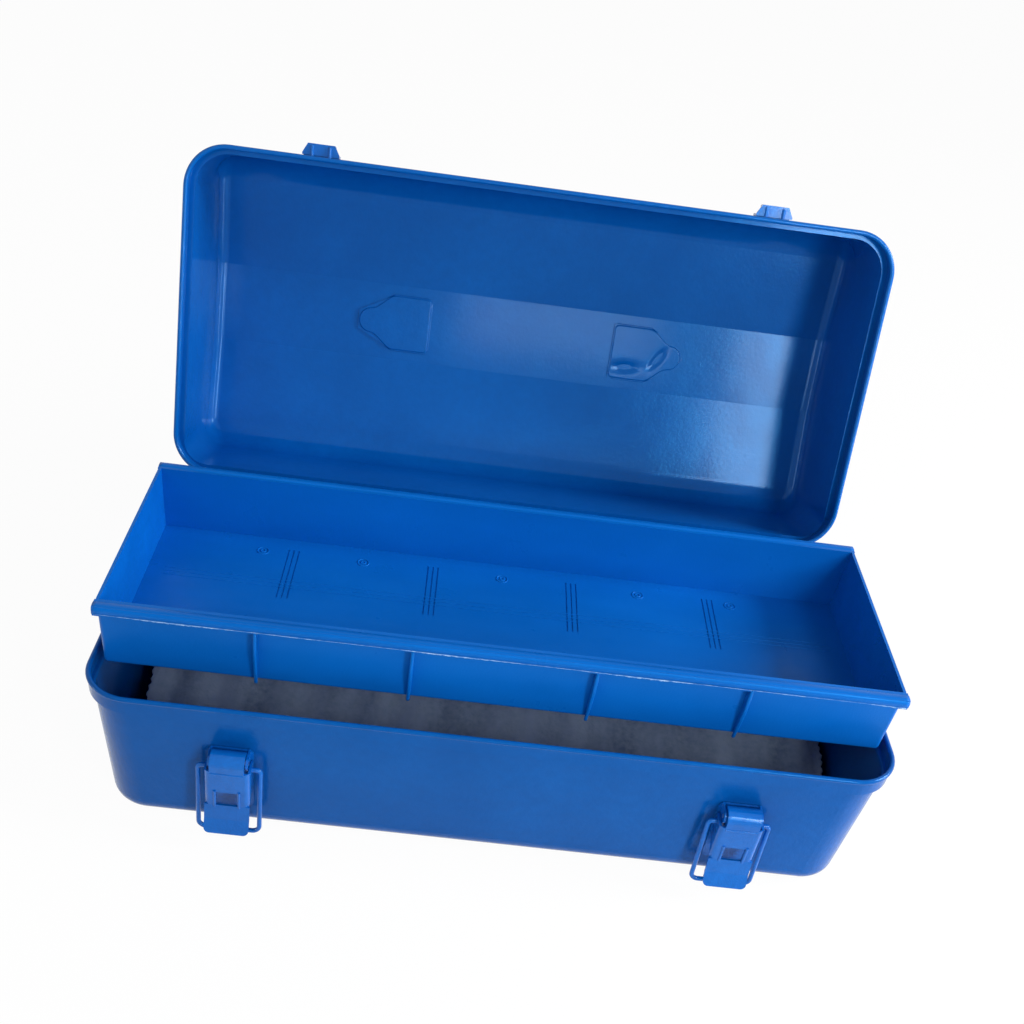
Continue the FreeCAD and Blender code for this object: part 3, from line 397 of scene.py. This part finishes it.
def made_by(tree, name, values, body):
    """Runs a tree with its inputs' values, keeps the result as a plain mesh, and lets it ride on a body."""
    piece = bpy.data.objects.new(name, bpy.data.meshes.new(name))
    bpy.context.scene.collection.objects.link(piece)
    modifier = piece.modifiers.new("make", "NODES")
    modifier.node_group = tree
    for item in tree.interface.items_tree:
        if item.in_out == "INPUT":
            modifier[item.identifier] = values[item.name]
    made = bpy.data.meshes.new_from_object(piece.evaluated_get(bpy.context.evaluated_depsgraph_get()))
    piece.modifiers.clear()
    piece.data = made
    made.name = name
    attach(piece, body)
    return piece


def repeat(tree, given, out, row, tube):
    """Ends a tree: the tube is set at each point of the row, made real and given its finish."""
    placed = add_part(tree, "InstanceOnPoints", {"Points": row.outputs[0], "Instance": tube.outputs[0]})
    real = add_part(tree, "RealizeInstances", {"Geometry": placed.outputs[0]})
    finished = add_part(tree, "SetMaterial", {"Geometry": real.outputs[0], "Material": given.outputs["Finish"]})
    tree.links.new(finished.outputs[0], out.inputs[0])
    return tree


def repeated_rings():
    """Rings of round section along a row: how many, the pitch, the ring's radius, its section and its place."""
    tree, given, out = geometry_tree("repeated_rings", {
        "Count": "NodeSocketInt", "Pitch": "NodeSocketVector", "Start": "NodeSocketVector",
        "Ring Radius": "NodeSocketFloat", "Section Radius": "NodeSocketFloat", "Finish": "NodeSocketMaterial"})
    row = add_part(tree, "MeshLine", {"Count": given.outputs["Count"], "Start Location": given.outputs["Start"],
                                      "Offset": given.outputs["Pitch"]})
    ring = add_part(tree, "CurvePrimitiveCircle", {"Resolution": 32, "Radius": given.outputs["Ring Radius"]})
    section = add_part(tree, "CurvePrimitiveCircle", {"Resolution": 8, "Radius": given.outputs["Section Radius"]})
    tube = add_part(tree, "CurveToMesh", {"Curve": ring.outputs[0], "Profile Curve": section.outputs[0]})
    return repeat(tree, given, out, row, tube)


def repeated_ribs():
    """Straight ribs of round section side by side: how many, the pitch, both ends of the first, and its section."""
    tree, given, out = geometry_tree("repeated_ribs", {
        "Count": "NodeSocketInt", "Pitch": "NodeSocketVector", "Start": "NodeSocketVector", "End": "NodeSocketVector",
        "Section Radius": "NodeSocketFloat", "Finish": "NodeSocketMaterial"})
    row = add_part(tree, "MeshLine", {"Count": given.outputs["Count"], "Offset": given.outputs["Pitch"]})
    line = add_part(tree, "CurvePrimitiveLine", {"Start": given.outputs["Start"], "End": given.outputs["End"]})
    points = add_part(tree, "ResampleCurve", {"Curve": line.outputs[0], "Count": 24})
    section = add_part(tree, "CurvePrimitiveCircle", {"Resolution": 10, "Radius": given.outputs["Section Radius"]})
    tube = add_part(tree, "CurveToMesh", {"Curve": points.outputs[0], "Profile Curve": section.outputs[0],
                                          "Fill Caps": True})
    return repeat(tree, given, out, row, tube)


rings, ribs = repeated_rings(), repeated_ribs()
for name, count, pitch, start in (("left", 2, 0.060, -0.144), ("middle", 1, 0.0, 0.0), ("right", 2, 0.057, 0.083)):
    for kind, radius in (("rim", 0.0033), ("centre", 0.0013)):
        made_by(rings, f"ejector_{kind}_{name}",
                {"Count": count, "Pitch": (pitch, 0, 0), "Start": (start, MARK_ROW, TRAY_FLOOR),
                 "Ring Radius": radius, "Section Radius": 0.00042, "Finish": tray_plastic}, "tray")
made_by(ribs, "floor_ribs",
        {"Count": 3, "Pitch": (0, RIB_PITCH, 0), "Start": (-RIB_HALF_LENGTH, RIB_ROW, TRAY_FLOOR),
         "End": (RIB_HALF_LENGTH, RIB_ROW, TRAY_FLOOR), "Section Radius": 0.00028, "Finish": tray_plastic},
        "tray")

# Two hinges join the lid to the back of the box. Their leaves are pressed steel, spot-welded on and enamelled with
# the box, and turn on plain steel pins. The latches' levers turn on like pins.
hinge_enamel = blue_enamel("hinge_enamel", (0.0012, 0.078, 0.34, 1), (0.0018, 0.110, 0.44, 1), 0.22)
coat(hinge_enamel, *(f"hinge_leaf_{on}_{side}" for on in ("box", "lid") for side in ("left", "right")))


def bare_steel(name, stretch, stains, dark, pale, scratches, smooth, rough):
    """Uncoated steel rod: stains and scratches, each a noise scale and detail, are drawn out along X."""
    finish, tree, shader, place = new_finish(name)
    drawn = add_node(tree, "Mapping", {"Vector": place, "Scale": (1.0, stretch, stretch)}).outputs[0]
    tree.links.new(two_colours(tree, mottle(tree, drawn, *stains), dark, pale), shader.inputs["Base Color"])
    tree.links.new(mottle(tree, drawn, *scratches, smooth, rough), shader.inputs["Roughness"])
    shader.inputs["Metallic"].default_value = 1.0
    return finish


pin_steel = bare_steel("pin_steel", 6.0, (200, 3), (0.38, 0.39, 0.41, 1), (0.56, 0.57, 0.58, 1), (350, 4), 0.24, 0.42)
coat(pin_steel, "hinge_pin_left", "hinge_pin_right", "latch_pin_left", "latch_pin_right")

# The two draw latches are pressed and bent from steel and enamelled with the box. Their copy is mixed lighter, as
# painted light.
# Each has a base with ears, a lever with a rolled barrel and a window, and a bail of wire that hangs from the lever.
# The latches' and keepers' enamel is mixed lighter than the box's, as painted light on them.
latch_enamel_with_painted_light = blue_enamel("latch_enamel_with_painted_light", (0.0013, 0.088, 0.39, 1), (0.0024, 0.135, 0.53, 1), 0.28, clear=0.40)
coat(latch_enamel_with_painted_light, *(f"latch_{piece}_{side}" for piece in ("base", "lever", "bail") for side in ("left", "right")))
coat(latch_enamel_with_painted_light, "keeper_left", "keeper_right")

# The latch lever is a steel pressing, too thin to pull on without stiffening.
# A step is pressed across it below the barrel, and its edges are rolled at each side of the window.
LEVER_STEP, STEP_HALF_LENGTH, FACE_OUT = 0.0535, 0.0086, 0.0058
WINDOW_TOP, WINDOW_FOOT, RAIL_HALF_SPAN = 0.0410, 0.0292, 0.0064
for side in ("left", "right"):
    pivot = next(joint for joint in frame["joints"] if joint["name"] == f"lever_{side}_swing")["pos_m"]
    face = pivot[1] - FACE_OUT
    made_by(ribs, f"lever_step_{side}",
            {"Count": 1, "Pitch": (0, 0, 0), "Start": (pivot[0] - STEP_HALF_LENGTH, face + 0.0001, LEVER_STEP),
             "End": (pivot[0] + STEP_HALF_LENGTH, face + 0.0001, LEVER_STEP), "Section Radius": 0.0006,
             "Finish": latch_enamel_with_painted_light},
            f"lever_{side}")
    made_by(ribs, f"lever_rails_{side}",
            {"Count": 2, "Pitch": (2 * RAIL_HALF_SPAN, 0, 0), "Start": (pivot[0] - RAIL_HALF_SPAN, face, WINDOW_TOP),
             "End": (pivot[0] - RAIL_HALF_SPAN, face, WINDOW_FOOT), "Section Radius": 0.0008,
             "Finish": latch_enamel_with_painted_light},
            f"lever_{side}")

# The lid is one drawing of thinner steel with a faceted roof, a stepped rim that goes over the box, and two pads
# pressed in behind the handle's brackets. It is enamelled as the box is.
lid_enamel = blue_enamel("lid_enamel", (0.0010, 0.088, 0.37, 1), (0.0016, 0.112, 0.45, 1), 0.10)
coat(lid_enamel, "lid_shell", "handle_bracket_left", "handle_bracket_right")
lid_hinge = next(joint for joint in frame["joints"] if joint["name"] == "lid_hinge")
OPEN_ANGLE = math.radians(108.5)


def on_open_lid(point):
    """Where a point of the closed lid comes to when the lid stands open."""
    axle_y, axle_z = lid_hinge["pos_m"][1:]
    y, z = point[1] - axle_y, point[2] - axle_z
    return (point[0], axle_y + y * math.cos(OPEN_ANGLE) + z * math.sin(OPEN_ANGLE),
            axle_z - y * math.sin(OPEN_ANGLE) + z * math.cos(OPEN_ANGLE))


# Each keeper is a small steel pressing welded to the lid's front edge, with a nose that the bail hooks over.
# Two short ribs pressed into the nose keep it from bending.
KEEPER_X, KEEPER_HOOK, KEEPER_WALL, KEEPER_NOSE, KEEPER_HALF_SPAN = 0.136, 0.0940, 0.1000, 0.1058, 0.0052
for side, turn in (("left", -1), ("right", 1)):
    first = turn * KEEPER_X - KEEPER_HALF_SPAN
    made_by(ribs, f"keeper_ribs_{side}",
            {"Count": 2, "Pitch": (2 * KEEPER_HALF_SPAN, 0, 0),
             "Start": on_open_lid((first, -KEEPER_WALL, KEEPER_HOOK)),
             "End": on_open_lid((first, -KEEPER_NOSE, KEEPER_HOOK)), "Section Radius": 0.0011,
             "Finish": latch_enamel_with_painted_light},
            "lid")

# Inside the lid the two pads stand proud with soft pressed edges and an ogee nose that points to the lid's end.
# The bracket's spot welds have left two dents in the right one. A dent has its place along and across the pad, its
# reach both ways and its depth.
PAD_NEAR, PAD_BEND, PAD_NECK, PAD_TIP = 0.0640, 0.0880, 0.0075, 0.1120
PAD_HALF, PAD_NOSE, PAD_CORNER = 0.0180, 0.0082, 0.0025
PAD_EDGE, PAD_STEP, PAD_MARGIN = 0.0013, 0.0003, 0.0015
PAD_FOOT, PAD_FACE = 0.18165, 0.17985
WELD_DENTS = ((0.0745, 0.0100, 0.0080, 0.0032, 0.0011), (0.0965, 0.0015, 0.0028, 0.0060, 0.0013))


def pad_depth(x, y):
    """How far a point lies inside the pad's outline, in metres."""
    past_nose = x - (PAD_TIP - PAD_NOSE)
    if past_nose > 0:
        return PAD_NOSE - math.hypot(past_nose, y)
    along = min(1.0, max(0.0, (x - PAD_BEND) / (PAD_TIP - PAD_NECK - PAD_BEND)))
    half = PAD_HALF - (PAD_HALF - PAD_NOSE) * along * along * (3 - 2 * along)
    side, end = half - abs(y), x - PAD_NEAR
    if side < PAD_CORNER and end < PAD_CORNER:
        return PAD_CORNER - math.hypot(PAD_CORNER - side, PAD_CORNER - end)
    return min(side, end)


for name, turn in (("pad_left", -1), ("pad_right", 1)):
    columns = int((PAD_TIP - PAD_NEAR + 2 * PAD_MARGIN) / PAD_STEP)
    rows = int((2 * PAD_HALF + 2 * PAD_MARGIN) / PAD_STEP)
    points, kept = [], []
    for column in range(columns + 1):
        for row in range(rows + 1):
            x, y = PAD_NEAR - PAD_MARGIN + column * PAD_STEP, -PAD_HALF - PAD_MARGIN + row * PAD_STEP
            inside = pad_depth(x, y)
            rise = min(1.0, max(0.0, (inside + 0.0009) / PAD_EDGE))
            height = PAD_FOOT + (PAD_FACE - PAD_FOOT) * rise * rise * (3 - 2 * rise)
            if turn > 0:
                for dent_x, dent_y, wide, tall, deep in WELD_DENTS:
                    slant = x - dent_x + 0.55 * (y - dent_y)
                    height += deep * rise * math.exp(-(slant / wide) ** 2 - ((y - dent_y) / tall) ** 2)
            points.append(on_open_lid((turn * x, y, height)))
            kept.append(inside > -0.0013)
    faces = []
    for column in range(columns):
        for row in range(rows):
            first = column * (rows + 1) + row
            square = (first, first + 1, first + rows + 2, first + rows + 1)
            if all(kept[corner] for corner in square):
                faces.append(square if turn > 0 else square[::-1])
    pad_mesh = bpy.data.meshes.new(name)
    pad_mesh.from_pydata(points, [], faces)
    pad = bpy.data.objects.new(name, pad_mesh)
    bpy.context.scene.collection.objects.link(pad)
    trim = bmesh.new()
    trim.from_mesh(pad_mesh)
    bmesh.ops.delete(trim, geom=[corner for corner in trim.verts if not corner.link_faces], context="VERTS")
    trim.to_mesh(pad_mesh)
    trim.free()
    pad_mesh.shade_smooth()
    pad_mesh.materials.append(lid_enamel)
    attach(pad, "lid")

# The carrying handle is a bent round rod in plated steel, which turns in two brackets welded to the lid.
# Its grip is a plain black plastic moulding pushed over the rod.
rod_steel = bare_steel("rod_steel", 8.0, (120, 4), (0.42, 0.43, 0.45, 1), (0.62, 0.62, 0.63, 1), (260, 4), 0.18, 0.36)
coat(rod_steel, "handle_rod")
grip_plastic, tree, shader, place = new_finish("grip_plastic")
tree.links.new(two_colours(tree, mottle(tree, place, 180, 4), (0.012, 0.013, 0.015, 1), (0.026, 0.027, 0.030, 1)),
               shader.inputs["Base Color"])
tree.links.new(mottle(tree, place, 90, 3, 0.42, 0.6), shader.inputs["Roughness"])
grip_skin = add_node(tree, "Bump", {"Height": mottle(tree, place, 1400, 2), "Strength": 0.4, "Distance": 0.0003})
tree.links.new(grip_skin.outputs[0], shader.inputs["Normal"])
coat(grip_plastic, "handle_grip")
